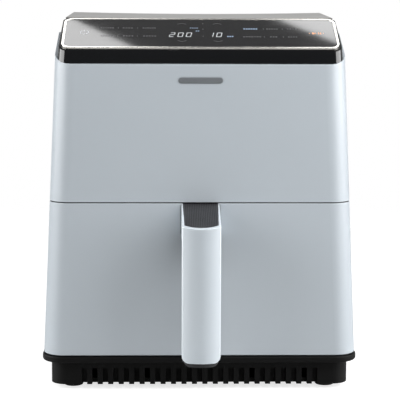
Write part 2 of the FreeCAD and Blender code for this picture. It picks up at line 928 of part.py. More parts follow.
def make_drawer_back():
    body = new_body("drawer_back_plate")
    outline = new_sketch(body, "XZ", "-(drawer_back - drawer_skin)")
    low = "(drawer_foot + drawer_skin + 0.1)"
    high = "(seam_height - drawer_skin - 0.1)"
    inset = "drawer_skin + 0.1"
    add_polygon(
        outline,
        [
            (f"-({side_at(low)} - ({inset}))", low),
            (f"{side_at(low)} - ({inset})", low),
            (f"{side_at(high)} - ({inset})", high),
            (f"-({side_at(high)} - ({inset}))", high),
        ],
    )
    pad(body, outline, "drawer_skin", backwards=True)
    return body


def make_basket():
    body = new_body("basket")
    outline = new_sketch(body, "XY", "basket_foot")
    add_rounded(outline, "-basket_half", "drawer_back", "basket_half", "basket_rear", "basket_corner")
    pad(body, outline, "basket_rim - basket_foot")
    rim = new_sketch(body, "XY", "basket_rim - rim_sheet")
    wide = "(basket_half + rim_width)"
    add_rounded(rim, f"-{wide}", "drawer_back", wide, "basket_rear + rim_width", "basket_corner")
    pad(body, rim, "rim_sheet")
    inside = new_sketch(body, "XY", "basket_rim")
    inner = "(basket_half - basket_wall)"
    add_rounded(
        inside,
        f"-{inner}",
        "drawer_back + basket_wall",
        inner,
        "basket_rear - basket_wall",
        "basket_corner - basket_wall",
    )
    pocket(body, inside, "basket_rim - basket_foot - basket_wall")
    foot, floor = size("basket_foot"), size("basket_foot + basket_wall")
    dress(body, "Fillet", "basket_round - basket_wall", lambda edge: lies_at(edge, floor))
    dress(body, "Fillet", "basket_round", lambda edge: lies_at(edge, foot))
    return body


def make_crisper_tray():
    body = new_body("crisper_tray")
    outline = new_sketch(body, "XY", "tray_floor")
    add_rounded(outline, "-tray_half", "tray_front", "tray_half", "tray_rear", "tray_corner")
    pad(body, outline, "tray_sheet")
    skirt = new_sketch(body, "XY", "tray_floor - tray_lip")
    add_rounded(skirt, "-tray_half", "tray_front", "tray_half", "tray_rear", "tray_corner")
    inner = "(tray_half - tray_sheet)"
    add_rounded(
        skirt,
        f"-{inner}",
        "tray_front + tray_sheet",
        inner,
        "tray_rear - tray_sheet",
        "tray_corner - tray_sheet",
    )
    pad(body, skirt, "tray_lip")
    perforate_tray(body)
    return body


def perforate_tray(body):
    """Rows of round holes; every second row is shifted by half a pitch."""
    rows, columns = 12, 12
    holes = new_sketch(body, "XY", "tray_floor + tray_sheet")
    for row in range(rows):
        shift = 0.5 * (row % 2)
        for column in range(columns - row % 2):
            x = f"({column} + {shift} - {(columns - 1) / 2})*hole_pitch"
            y = f"(tray_front + tray_rear)/2 + ({row} - {(rows - 1) / 2})*hole_pitch"
            add_circle(holes, x, y, "hole_radius")
    pocket(body, holes, "tray_sheet + 1")


def make_tray_bumpers():
    """Four silicone caps that hold the tray off the basket's walls and floor."""
    for label, x, y in (
        ("tray_bumper_front_left", "-tray_half - bumper_sheet", "tray_front + bumper_inset"),
        ("tray_bumper_front_right", "tray_half", "tray_front + bumper_inset"),
        ("tray_bumper_rear_left", "-tray_half - bumper_sheet", "tray_rear - bumper_inset"),
        ("tray_bumper_rear_right", "tray_half", "tray_rear - bumper_inset"),
    ):
        low = (x, y, "basket_foot + basket_wall + 1.3")
        high = (f"{x} + bumper_sheet", f"{y} + bumper_width", "tray_floor + tray_sheet")
        register(box(f"{label}_box", low, high), label)


# ---- handle --------------------------------------------------------------------------------------


def handle_slope_at(depth):
    """Height of the handle's sloping top over a place in front of the drawer."""
    return f"(handle_top - tan(handle_slope)*({front_at('handle_top')} - ({depth})))"


def sketch_on_slope(body):
    """A sketch on the handle's sloping top, its origin where the slope meets the drawer and +Y uphill."""
    sketch = new_sketch(body, "XY", "handle_top")
    sketch.AttachmentOffset = FreeCAD.Placement(Vector(), Rotation(Vector(1, 0, 0), 1))
    sketch.setExpression("AttachmentOffset.Rotation.Angle", spell("handle_slope * 1 deg"))
    sketch.setExpression("AttachmentOffset.Base.y", spell(front_at("handle_top")))
    return sketch


def round_lower_corners(body, half, low):
    """Rounds off a hanging bar's two bottom corners, as seen from the front."""
    outside = new_sketch(body, "XZ", "-(handle_front - 10)")
    add_rectangle(outside, -40, f"{low} - 10", 40, "handle_top + 40")
    add_rounded(outside, f"-({half})", low, half, "handle_top + 30", "handle_corner")
    pocket(body, outside, 30)


def make_handle_shell():
    """An arm that leaves the drawer at the seam, slopes down to a nose and hangs as a crowned upright bar."""
    body = new_body("handle_shell")
    plan = new_sketch(body, "XY", "handle_end")
    add_arched(plan, "handle_half", "shell_front + 20", "handle_front + handle_bow", "-handle_bow")
    pad(body, plan, "handle_top - handle_end + 5")
    half, front = size("handle_half"), size("handle_front + handle_bow")

    def on_front_corner(edge):
        middle = edge.BoundBox.Center
        return is_upright(edge) and abs(abs(middle.x) - half) < 0.1 and abs(middle.y - front) < 0.1

    dress(body, "Fillet", "handle_round", on_front_corner)
    round_lower_corners(body, "handle_half", "handle_end")
    above = new_sketch(body, "YZ")
    ahead, behind = "(handle_front - 5)", "(shell_front + 25)"
    add_polygon(
        above,
        [
            (ahead, handle_slope_at(ahead)),
            (behind, handle_slope_at(behind)),
            (behind, "handle_top + 30"),
            (ahead, "handle_top + 30"),
        ],
    )
    pocket(body, above, THROUGH, midplane=True)
    gap = new_sketch(body, "YZ")
    inner, under = "(handle_front + handle_depth)", "(arm_under + 8)"
    add_polygon(
        gap,
        [
            (inner, "handle_end - 5"),
            (inner, under),
            (front_at(under), under),
            (front_at("(handle_top + 10)"), "handle_top + 10"),
            (behind, "handle_top + 10"),
            (behind, "handle_end - 5"),
        ],
    )
    pocket(body, gap, THROUGH, midplane=True)
    slope = math.tan(math.radians(size("handle_slope")))
    top, root, nose = (size(value) for value in ("handle_top", front_at("handle_top"), "handle_front"))

    def on_slope_rim(edge):
        middle = edge.BoundBox.Center
        level = abs(middle.z - (top - slope * (root - middle.y))) < 0.8
        return level and not (edge.BoundBox.YLength < 0.1 and middle.y > nose + 20)

    dress(body, "Fillet", "handle_rim", on_slope_rim)
    recess = sketch_on_slope(body)
    reach = "insert_bow - insert_reach - 0.1"
    add_arched(recess, "insert_half + 0.1", "notch_depth + 5", reach, "-insert_bow", "insert_root + 0.2")
    pocket(body, recess, "insert_depth")
    return body


def make_handle_liner():
    """Dark inner half of the handle, with a toe that shows below the shell and the finger gap behind it."""
    body = new_body("handle_liner")
    toe = new_sketch(body, "XY", "liner_end")
    toe_front = "(handle_front + liner_set + handle_bow)"
    add_arched(toe, "liner_half", "liner_back", toe_front, "-handle_bow")
    pad(body, toe, "handle_end - liner_end - 0.05")
    side = new_sketch(body, "YZ")
    outer = "(handle_front + handle_depth)"
    under = "(arm_under + 8)"
    add_polygon(
        side,
        [
            (front_at(under), under),
            (outer, under),
            (outer, "liner_end"),
            ("liner_back", "liner_end"),
            ("liner_back", "arm_under"),
            (front_at("arm_under"), "arm_under"),
        ],
    )
    pad(body, side, "2*liner_half", midplane=True)
    y, z = size("liner_back"), size("arm_under")
    dress(body, "Fillet", "arm_round", lambda edge: runs_across(edge, y, z))
    round_lower_corners(body, "liner_half", "liner_end")
    return body


def make_handle_insert():
    """Ribbed thumb rest let into the handle's sloping top and a notch in the drawer's edge."""
    body = new_body("handle_insert")
    outline = sketch_on_slope(body)
    reach = "insert_bow - insert_reach"
    add_arched(outline, "insert_half", "notch_depth - 0.1", reach, "-insert_bow", "insert_root")
    pad(body, outline, "insert_depth - 0.05", backwards=True)
    groove = sketch_on_slope(body)
    left = "(groove_inset - insert_half)"
    add_rectangle(groove, left, "-insert_reach - 1", f"{left} + groove_width", "notch_depth + 1")
    first = pocket(body, groove, "groove_depth")
    repeat(body, first, (groove, ["H_Axis"]), "2*(insert_half - groove_inset) - groove_width", 18)
    return body


# ---- cooking cavity ------------------------------------------------------------------------------


def make_cavity_liner():
    body = new_body("cavity_liner")
    outline = new_sketch(body, "XY", "cavity_foot")
    outer = "(cavity_half + cavity_sheet)"
    add_rectangle(outline, f"-{outer}", "cavity_front", outer, "cavity_rear + cavity_sheet")
    pad(body, outline, "cavity_roof - cavity_foot")
    inside = new_sketch(body, "XZ", "-cavity_front")
    add_rectangle(
        inside, "-cavity_half", "cavity_foot + cavity_sheet", "cavity_half", "cavity_roof - cavity_sheet"
    )
    pocket(body, inside, "cavity_rear - cavity_front")
    hole = new_sketch(body, "XY", "cavity_roof")
    add_circle(hole, "0", "rotor_back", "2*shaft_radius")
    pocket(body, hole, "5")
    return body


def make_rails():
    """Angle rails that the basket's rim slides on."""
    for label, sign in (("rail_left", -1), ("rail_right", 1)):
        body = new_body(label)
        profile = new_sketch(body, "XZ", "-(cavity_front + 2)")
        inner = "(basket_half + 0.8)"
        top = "(basket_rim - rim_sheet - 0.4)"
        wall = f"{sign}*cavity_half"
        add_polygon(
            profile,
            [
                (f"{sign}*{inner}", top),
                (wall, top),
                (wall, f"{top} - rail_leg"),
                (f"{wall} - {sign}*rail_sheet", f"{top} - rail_leg"),
                (f"{wall} - {sign}*rail_sheet", f"{top} - rail_sheet"),
                (f"{sign}*{inner}", f"{top} - rail_sheet"),
            ],
        )
        pad(body, profile, "cavity_rear - cavity_front - 12", backwards=True)


def make_upper_heater():
    """Two concentric heating loops joined by a short bridge, with two terminals that reach the rear wall."""
    tube = "coil_radius"
    inner = torus("HeaterLoopInner", "inner_loop", tube, 0, "rotor_back", "upper_coil")
    outer = torus("HeaterLoopOuter", "outer_loop", tube, 0, "rotor_back", "upper_coil")
    span = "outer_loop - inner_loop"
    bridge = cylinder("HeaterBridge", tube, span, 0, "rotor_back + inner_loop", "upper_coil", (0, 1, 0))
    ends = []
    for number, x in enumerate((-8, 8)):
        start = "(rotor_back + outer_loop - 1)"
        reach = f"cavity_rear - {start}"
        leg = cylinder(f"HeaterLeg{number}", "coil_radius - 0.4", reach, x, start, "upper_coil", (0, 1, 0))
        ends.append(leg)
    return register(fuse("UpperHeaterFuse", [inner, outer, bridge] + ends), "upper_heater")


def make_lower_heater():
    """A rectangular heating loop under the basket."""
    body = new_body("lower_heater")
    route = new_sketch(body, "XY", "lower_coil")
    front, rear = "rotor_back - lower_loop", "rotor_back + lower_loop"
    add_rounded(route, "-lower_loop", front, "lower_loop", rear, "loop_corner")
    section = new_sketch(body, "XZ", "-rotor_back")
    add_circle(section, "lower_loop", "lower_coil", "coil_radius")
    tube = body.newObject("PartDesign::AdditivePipe", "LowerHeaterPipe")
    tube.Profile = section
    tube.Spine = (route, [])
    return body


def make_lower_reflector():
    body = new_body("lower_reflector")
    outline = new_sketch(body, "XY", "cavity_foot + cavity_sheet")
    half = "(cavity_half - 7)"
    add_rounded(outline, f"-{half}", "cavity_front + 4", half, "cavity_rear - 4", 10)
    pad(body, outline, "cavity_sheet")
    saddle = new_sketch(body, "XY", "cavity_foot + cavity_sheet")
    for x in ("-lower_loop", "lower_loop"):
        add_rectangle(saddle, f"{x} - 4", "rotor_back - 4", f"{x} + 4", "rotor_back + 4")
    pad(body, saddle, "lower_coil - coil_radius - cavity_foot - cavity_sheet")
    return body


def make_heater_guard():
    """Wire guard below the upper heater: rings on crossed bars that end at the cavity's side walls."""
    level, wire = "guard_level", "guard_wire"
    radii = GUARD_RINGS + ("guard_reach",)
    rings = [torus(f"GuardRing{n}", ring, wire, 0, "rotor_back", level) for n, ring in enumerate(radii)]
    bars = []
    for number, way in enumerate((-1, 1)):
        across = f"rotor_back + {way}*guard_bar"
        start, length = "-cavity_half", "2*cavity_half"
        bar = cylinder(f"GuardBar{number}", "guard_wire + 0.2", length, start, across, level, (1, 0, 0))
        bars.append(bar)
    spoke = cylinder("GuardSpoke", wire, "2*guard_reach", 0, "rotor_back - guard_reach", level, (0, 1, 0))
    return register(fuse("HeaterGuardFuse", rings + bars + [spoke]), "heater_guard")


def make_heat_shield():
    low = ("-shield_half", "shield_front", "cavity_roof + 2")
    high = ("shield_half", "shield_rear", "cavity_roof + 2 + shield_sheet")
    plate = box("ShieldPlate", low, high)
    hole = cylinder("ShieldHole", "2*shaft_radius", 20, 0, "rotor_back", "cavity_roof - 5")
    return register(cut("ShieldCut", plate, hole), "heat_shield")


# ---- rotor and motor -----------------------------------------------------------------------------


def make_fan(label, low, radius, height, count):
    """A back disc with upright radial blades and a hub, centred on the rotor's axis."""
    body = new_body(label)
    disc = new_sketch(body, "XY", "0")
    add_circle(disc, 0, 0, radius)
    add_circle(disc, 0, 0, "shaft_radius")
    pad(body, disc, 1)
    hub = new_sketch(body, "XY", "0")
    add_circle(hub, 0, 0, "shaft_radius + 4")
    add_circle(hub, 0, 0, "shaft_radius")
    pad(body, hub, height)
    blade = new_sketch(body, "XY", "0")
    add_rectangle(blade, f"0.35*({radius})", -0.6, f"{radius} - 1.5", 0.6)
    first = pad(body, blade, height)
    turn_about(body, first, blade, count)
    return place(body, 0, "rotor_back", low)


def make_rotor():
    make_fan("hot_air_fan", "fan_low", "fan_radius", "fan_height", 12)
    make_fan("cooling_fan", "motor_low - cooler_height - 7", "cooler_radius", "cooler_height", 10)
    length = "motor_low + 0.65*motor_height - fan_low"
    shaft = cylinder("ShaftRod", "shaft_radius", length, 0, "rotor_back", "fan_low - 2")
    register(shaft, "motor_shaft")


def make_motor():
    can = cylinder("MotorCan", "motor_radius", "motor_height", 0, "rotor_back", "motor_low")
    cap = cylinder("MotorCap", "0.4*motor_radius", 5, 0, "rotor_back", "motor_low + motor_height")
    bore = cylinder("MotorBore", "shaft_radius + shaft_fit", 30, 0, "rotor_back", "motor_low - 1")
    register(cut("MotorCut", fuse("MotorSolid", [can, cap]), bore), "motor")


def make_motor_bracket():
    """A ring plate under the motor on three legs that stand on the heat shield."""
    body = new_body("motor_bracket")
    plate = new_sketch(body, "XY", "-2")
    add_circle(plate, 0, 0, "bracket_radius")
    add_circle(plate, 0, 0, "2.5*shaft_radius")
    pad(body, plate, 2)
    leg = new_sketch(body, "XY", "-1")
    add_rectangle(leg, "leg_inner", "-leg_half", "leg_outer", "leg_half")
    first = pad(body, leg, "motor_low - cavity_roof - shield_sheet - 3", backwards=True)
    turn_about(body, first, leg, 3)
    return place(body, 0, "rotor_back", "motor_low")


def make_motor_screws():
    screws = []
    for number in range(3):
        angle = 90 + 120 * number
        x = f"screw_circle*cos({angle})"
        y = f"rotor_back + screw_circle*sin({angle})"
        screws.append(make_screw(f"MotorScrew{number}", x, y, "motor_low - 4"))
    return group("motor_screws", screws)


def make_screw(name, x, y, z, axis=(0, 0, 1)):
    """A pan-head screw whose head starts at the given place and whose shank runs along the axis."""
    head = cylinder(f"{name}_head", "2*screw_radius", "screw_head", x, y, z, axis)
    shank = cylinder(f"{name}_shank", "screw_radius", "screw_length", x, y, z, axis)
    return fuse(name, [head, shank])


# ---- electrical parts ----------------------------------------------------------------------------


def make_power_board():
    """Relay and supply board standing on edge behind the motor."""
    face, low = "power_front", "power_low"
    back = "power_front + board_sheet"
    board = box("BoardSheet", ("-power_half", face, low), ("power_half", back, "power_top"))
    relay = box("BoardRelay", (-50, f"{face} - 14", f"{low} + 15"), (-30, face, f"{low} + 35"))
    supply = box("BoardSupply", (0, f"{face} - 18", f"{low} + 10"), (28, face, f"{low} + 35"))
    capacitor = cylinder("BoardCapacitor", 7, 20, 50, f"{face} - 20", f"{low} + 47", (0, 1, 0))
    return register(fuse("PowerBoardFuse", [board, relay, supply, capacitor]), "power_board")


def make_sensors():
    """A bead sensor beside the upper heater and a clamp-on cut-out above the cavity roof."""
    roof = "cavity_roof - cavity_sheet"
    probe = cylinder("SensorProbe", 2, 30, -100, "cavity_front + 60", roof, (0, 0, -1))
    register(probe, "temperature_sensor")
    cutout = cylinder("CutoutCan", 8, 9, 80, -60, "cavity_roof + 2 + shield_sheet")
    register(cutout, "thermal_cutout")


def make_drawer_switch():
    """Micro-switch behind the fascia, with a sliding plunger that meets the drawer's back plate."""
    back, side, level = "fascia_front + fascia_depth", "switch_side", "switch_height"
    low = (f"{side} - 5.5", f"{back} + fit_gap", f"{level} - 8")
    high = (f"{side} + 5", f"{back} + 20", f"{level} + 8")
    casing = box("SwitchCasing", low, high)
    bore = cylinder("SwitchBore", "plunger_radius + 0.05", "plunger_length", side, back, level, (0, 1, 0))
    register(cut("SwitchCut", casing, bore), "drawer_switch")
    tip = "(drawer_back + 0.2)"
    plunger = cylinder("PlungerRod", "plunger_radius", "plunger_length", side, tip, level, (0, 1, 0))
    register(plunger, "switch_plunger")


def make_fascia_hole():
    """Lets the switch's plunger through the fascia."""
    body = nodes["cavity_fascia"]
    hole = new_sketch(body, "XZ", "-(fascia_front - 2)")
    add_circle(hole, "switch_side", "switch_height", "plunger_radius + 0.4")
    pocket(body, hole, 10)


def make_screws():
    """Screws in the base, the rear cover, the handle's arm and the basket's front wall."""
    along = (0, -1, 0)
    under = [(x, y) for y in (-95, 150) for x in (-95, 95)]
    base = [make_screw(f"BaseScrew{n}", x, y, "skirt_low - screw_head") for n, (x, y) in enumerate(under)]
    group("base_screws", base)
    rear = []
    for level in ("(cover_low + 8)", "(cover_top - 8)"):
        for x in ("8 - cover_half", "cover_half - 8"):
            rear.append(make_screw(f"RearScrew{len(rear)}", x, f"{rear_at(level)} + 1", level, along))
    group("rear_screws", rear)
    grip = []
    for number, z in enumerate((148, 160)):
        seat = f"{front_at(z)} + drawer_skin + screw_head"
        grip.append(make_screw(f"GripScrew{number}", 0, seat, z, along))
    group("handle_screws", grip)
    pan = []
    for number, x in enumerate((-80, -30, 30, 80)):
        seat = "drawer_back + basket_wall + screw_head"
        pan.append(make_screw(f"BasketScrew{number}", x, seat, 100, along))
    group("basket_screws", pan)


# ---- build, check and write ----------------------------------------------------------------------

BUILDERS = [
    make_upper_shell,
    make_rear_cover,
    make_cord_inlet,
    make_cavity_fascia,
    make_fascia_hole,
    make_top_band,
    make_top_plate,
    make_panel_ring,
    make_control_glass,
    make_display_module,
    make_display_board,
    make_touch_springs,
    make_buzzer,
    make_badge,
    make_base_ring,
    make_bottom_plate,
    make_feet,
    make_drawer_front,
    make_drawer_back,
    make_basket,
    make_crisper_tray,
    make_tray_bumpers,
    make_handle_shell,
    make_handle_liner,
    make_handle_insert,
    make_cavity_liner,
    make_rails,
    make_upper_heater,
    make_lower_heater,
    make_lower_reflector,
    make_heater_guard,
    make_heat_shield,
    make_rotor,
    make_motor,
    make_motor_bracket,
    make_motor_screws,
    make_power_board,
    make_sensors,
    make_drawer_switch,
    make_screws,
]


def check():
    faults = []
    for thing in doc.Objects:
        if "Invalid" in thing.State or "Error" in thing.State:
            faults.append(f"{thing.Label}: {thing.State}")
    for label, thing in nodes.items():
        if thing.Shape.isNull() or not thing.Shape.isValid() or thing.Shape.Volume <= 0:
            faults.append(f"{label}: shape is null, invalid or empty")
    if faults:
        raise RuntimeError("; ".join(faults))


def write():
    os.makedirs("parts", exist_ok=True)
    for label, thing in nodes.items():
        thing.Shape.exportStep(f"parts/{label}.step")
        print(f"{label}: {thing.Shape.Volume / 1000:.1f} cm3")


for build in BUILDERS:
    build()
doc.recompute()
check()
write()
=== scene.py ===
"""Looks for a counter-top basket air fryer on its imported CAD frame. Metres, +Z up, the front faces -Y."""

import math

import bmesh
import bpy
from mathutils import Matrix, Vector


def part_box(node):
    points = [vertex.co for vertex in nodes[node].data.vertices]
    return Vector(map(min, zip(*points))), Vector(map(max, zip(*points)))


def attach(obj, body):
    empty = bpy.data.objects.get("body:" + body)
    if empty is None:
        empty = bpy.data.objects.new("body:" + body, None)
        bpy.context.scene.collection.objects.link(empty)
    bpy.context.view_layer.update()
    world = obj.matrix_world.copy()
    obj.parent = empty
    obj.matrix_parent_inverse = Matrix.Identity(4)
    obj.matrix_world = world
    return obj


MM = 0.001
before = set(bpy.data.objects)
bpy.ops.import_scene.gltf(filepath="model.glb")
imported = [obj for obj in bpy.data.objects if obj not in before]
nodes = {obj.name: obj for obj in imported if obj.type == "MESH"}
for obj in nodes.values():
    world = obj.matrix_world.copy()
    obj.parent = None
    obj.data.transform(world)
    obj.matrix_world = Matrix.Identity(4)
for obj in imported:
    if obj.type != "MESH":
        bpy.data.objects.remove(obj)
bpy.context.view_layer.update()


# ---- material layers -----------------------------------------------------------------------------


class Finish:
    """A Principled material whose detail is laid out in the object's own coordinates, in metres."""

    def __init__(self, name, color, roughness, **sockets):
        self.material = bpy.data.materials.new(name)
        self.material.use_nodes = True
        self.tree = self.material.node_tree
        self.shader = self.tree.nodes["Principled BSDF"]
        self.place = self.node("ShaderNodeTexCoord").outputs["Object"]
        self.color = color
        self.roughness = roughness
        self.shader.inputs["Base Color"].default_value = (*color, 1)
        self.shader.inputs["Roughness"].default_value = roughness
        for socket, value in sockets.items():
            self.shader.inputs[socket.replace("_", " ")].default_value = value

    def node(self, kind, **settings):
        made = self.tree.nodes.new(kind)
        for key, value in settings.items():
            setattr(made, key, value)
        return made

    def join(self, source, target):
        self.tree.links.new(source, target)

    def stretched(self, stretch):
        """The object's coordinates, scaled along each axis."""
        mapping = self.node("ShaderNodeMapping")
        mapping.inputs["Scale"].default_value = stretch
        self.join(self.place, mapping.inputs["Vector"])
        return mapping.outputs["Vector"]

    def noise(self, size, detail=2.0, stretch=(1, 1, 1)):
        """Cloudy noise with features of about this size."""
        texture = self.node("ShaderNodeTexNoise")
        texture.inputs["Scale"].default_value = 1 / size
        texture.inputs["Detail"].default_value = detail
        self.join(self.stretched(stretch), texture.inputs["Vector"])
        return texture.outputs["Fac"]

    def cells(self, size):
        """Distance from the middle of the nearest of many small cells."""
        texture = self.node("ShaderNodeTexVoronoi")
        texture.inputs["Scale"].default_value = 1 / size
        self.join(self.place, texture.inputs["Vector"])
        return texture.outputs["Distance"]

    def span(self, value, low, high, start=0.3, end=0.7):
        """Maps a texture's start..end to low..high."""
        mapper = self.node("ShaderNodeMapRange")
        for socket, number in (("From Min", start), ("From Max", end), ("To Min", low), ("To Max", high)):
            mapper.inputs[socket].default_value = number
        self.join(value, mapper.inputs["Value"])
        return mapper.outputs["Result"]

    def edges(self, radius):
        """0 on flat stretches, rising to 1 where the surface turns within the radius."""
        rounded = self.node("ShaderNodeBevel", samples=4)
        rounded.inputs["Radius"].default_value = radius
        flat = self.node("ShaderNodeNewGeometry")
        dot = self.node("ShaderNodeVectorMath", operation="DOT_PRODUCT")
        self.join(rounded.outputs["Normal"], dot.inputs[0])
        self.join(flat.outputs["Normal"], dot.inputs[1])
        return self.span(dot.outputs["Value"], 1, 0, start=0.9, end=0.995)

    def crevice_shade(self, distance):
        """A mask for painted shade: 1 in grooves and corners narrower than the distance, where shade falls,
        falling to 0 in the open.
        """
        occlusion = self.node("ShaderNodeAmbientOcclusion", samples=8)
        occlusion.inputs["Distance"].default_value = distance
        return self.span(occlusion.outputs["AO"], 1, 0, start=0.45, end=0.95)

    def paint(self, mask, color):
        """Lays a second colour over what the material has so far, where the mask is 1."""
        mix = self.node("ShaderNodeMix", data_type="RGBA")
        target = self.shader.inputs["Base Color"]
        if target.links:
            self.join(target.links[0].from_socket, mix.inputs["A"])
        else:
            mix.inputs["A"].default_value = (*self.color, 1)
        mix.inputs["B"].default_value = (*color, 1)
        self.join(mask, mix.inputs["Factor"])
        self.join(mix.outputs["Result"], target)
        return self

    def vary(self, size, amount):
        """Slow drift of the colour, darker by up to a share of itself."""
        darker = tuple(value * (1 - amount) for value in self.color)
        return self.paint(self.span(self.noise(size, 3), 0, 1), darker)

    def smudge(self, size, low, high, detail=3.0, stretch=(1, 1, 1)):
        """Roughness that wanders between two values."""
        self.join(self.span(self.noise(size, detail, stretch), low, high), self.shader.inputs["Roughness"])
        return self

    def relief(self, height, depth, strength=1.0):
        """Adds bump from a texture, on top of any that is there already."""
        bump = self.node("ShaderNodeBump")
        bump.inputs["Distance"].default_value = depth
        bump.inputs["Strength"].default_value = strength
        self.join(height, bump.inputs["Height"])
        target = self.shader.inputs["Normal"]
        if target.links:
            self.join(target.links[0].from_socket, bump.inputs["Normal"])
        self.join(bump.outputs["Normal"], target)
        return self


def housing_paint():
    """Satin pale blue-grey lacquer with a very fine orange peel, and painted shade in the seams and inner
    corners.
    """
    finish = Finish("housing_paint", (0.438, 0.482, 0.52), 0.4, Coat_Weight=0.4, Coat_Roughness=0.32)
    finish.vary(0.09, 0.025)
    finish.paint(finish.edges(0.0012), (0.56, 0.61, 0.65))
    # painted shade: near-black where the occlusion mask finds seams and inner corners
    finish.paint(finish.crevice_shade(0.002), (0.025, 0.027, 0.03))
    finish.smudge(0.05, 0.38, 0.46)
    return finish.relief(finish.noise(0.0011, 1), 0.00002, 0.5).relief(finish.noise(0.006), 0.00004, 0.3)


def top_satin():
    """Warm grey lacquer on the top plate, a little glossier than the housing."""
    finish = Finish("top_satin", (0.41, 0.405, 0.395), 0.34, Metallic=0.25)
    finish.vary(0.08, 0.04)
    finish.paint(finish.edges(0.001), (0.5, 0.49, 0.47))
    finish.smudge(0.04, 0.3, 0.4)
    return finish.relief(finish.noise(0.0012, 1), 0.00002, 0.5)


def gloss_black():
    finish = Finish("gloss_black", (0.0035, 0.004, 0.005), 0.08, Coat_Weight=0.5, Coat_Roughness=0.04)
    finish.vary(0.05, 0.2)
    finish.smudge(0.03, 0.07, 0.16)
    return finish.relief(finish.noise(0.012, 2), 0.00003, 0.4)


def panel_glass():
    """Dark glass printed black from behind, with faint wiping marks."""
    finish = Finish("panel_glass", (0.006, 0.006, 0.0065), 0.05)
    finish.vary(0.04, 0.2)
    finish.smudge(0.03, 0.036, 0.052, 4, (1, 3, 1))
    return finish.relief(finish.noise(0.05, 1), 0.00002, 0.15)


def bright_trim():
    """Bright satin metal, brushed along the trim."""
    finish = Finish("bright_trim", (0.63, 0.615, 0.575), 0.22, Metallic=1.0)
    finish.vary(0.02, 0.06)
    finish.smudge(0.004, 0.19, 0.28, 2, (0.1, 1, 1))
    return finish.relief(finish.noise(0.0006, 2, (0.05, 1, 1)), 0.000005, 0.15)


def badge_metal():
    finish = Finish("badge_metal", (0.2, 0.215, 0.23), 0.38, Metallic=0.35)
    finish.vary(0.006, 0.06)
    finish.smudge(0.003, 0.33, 0.43)
    return finish.relief(finish.noise(0.0005, 1), 0.00001, 0.5)


def moulded(name, color, roughness, grain=0.0008, depth=0.00004, **sockets):
    """Moulded plastic with a spark-eroded grain and slightly polished edges."""
    finish = Finish(name, color, roughness, **sockets)
    finish.vary(0.03, 0.12)
    lighter = tuple(min(1, value * 2 + 0.003) for value in color)
    finish.paint(finish.edges(0.0008), lighter)
    finish.smudge(0.02, roughness - 0.06, roughness + 0.08)
    return finish.relief(finish.noise(grain, 2), depth, 0.7)


def ribbed_plastic():
    """The thumb rest's plastic, with painted shade in the grooves between its ribs."""
    finish = moulded("insert_plastic", (0.035, 0.035, 0.039), 0.42)
    # painted shade: near-black in the grooves that the occlusion mask finds
    return finish.paint(finish.crevice_shade(0.0018), (0.008, 0.008, 0.009))


def rubber():
    finish = Finish("rubber", (0.018, 0.018, 0.018), 0.75)
    finish.vary(0.01, 0.25)
    finish.smudge(0.006, 0.68, 0.85)
    return finish.relief(finish.noise(0.0005, 3), 0.00005, 0.8)


def silicone():
    finish = Finish("silicone", (0.03, 0.03, 0.032), 0.6, Sheen_Weight=0.2)
    finish.vary(0.008, 0.2)
    finish.smudge(0.005, 0.52, 0.68)
    return finish.relief(finish.noise(0.0007, 2), 0.00003, 0.6)


def coated_steel():
    """Dark non-stick coating with a fine sparkle and rubbed edges."""
    finish = Finish("coated_steel", (0.03, 0.03, 0.032), 0.4, Coat_Weight=0.2, Coat_Roughness=0.25)
    finish.vary(0.03, 0.2)
    finish.paint(finish.span(finish.cells(0.0016), 1, 0, 0.02, 0.09), (0.12, 0.12, 0.125))
    finish.paint(finish.edges(0.0008), (0.1, 0.1, 0.1))
    finish.smudge(0.03, 0.34, 0.48)
    return finish.relief(finish.noise(0.0009, 3), 0.00003, 0.6)


def sheet_steel(name, color, low, high, direction=(1, 1, 0.06)):
    """Rolled steel with streaks along one direction."""
    finish = Finish(name, color, low, Metallic=1.0)
    finish.vary(0.05, 0.1)
    finish.smudge(0.012, low, high, 4, direction)
    return finish.relief(finish.noise(0.0008, 3, direction), 0.00002, 0.5)


def heater_tube():
    """Oxidised heater sheath, browned unevenly by heat."""
    finish = Finish("heater_tube", (0.16, 0.15, 0.145), 0.5, Metallic=0.8)
    finish.paint(finish.span(finish.noise(0.02, 4), 0, 0.8), (0.21, 0.13, 0.08))
    finish.smudge(0.006, 0.42, 0.62)
    return finish.relief(finish.noise(0.0006, 3), 0.00003, 0.6)


def circuit_board():
    """Green solder mask with faint tracks."""
    finish = Finish("circuit_board", (0.012, 0.075, 0.035), 0.4)
    tracks = finish.node("ShaderNodeTexBrick")
    tracks.inputs["Scale"].default_value = 160
    tracks.inputs["Mortar Size"].default_value = 0.035
    finish.join(finish.place, tracks.inputs["Vector"])
    finish.paint(tracks.outputs["Fac"], (0.03, 0.16, 0.07))
    finish.smudge(0.01, 0.32, 0.5)
    return finish.relief(tracks.outputs["Fac"], 0.00003, 0.6)


def insulation():
    finish = Finish("insulation", (0.62, 0.6, 0.54), 0.9, Sheen_Weight=0.3)
    finish.vary(0.01, 0.2)
    finish.smudge(0.004, 0.82, 0.96)
    return finish.relief(finish.noise(0.001, 4, (0.3, 1, 1)), 0.0003, 0.9)


def lit_print(name, color, strength):
    """Ink that is lit from behind, a little uneven across each figure."""
    finish = Finish(name, color, 0.3, Emission_Strength=strength)
    finish.vary(0.002, 0.12)
    finish.shader.inputs["Emission Color"].default_value = (*color, 1)
    finish.smudge(0.002, 0.25, 0.35)
    return finish.relief(finish.noise(0.0004, 1), 0.000005, 0.3)


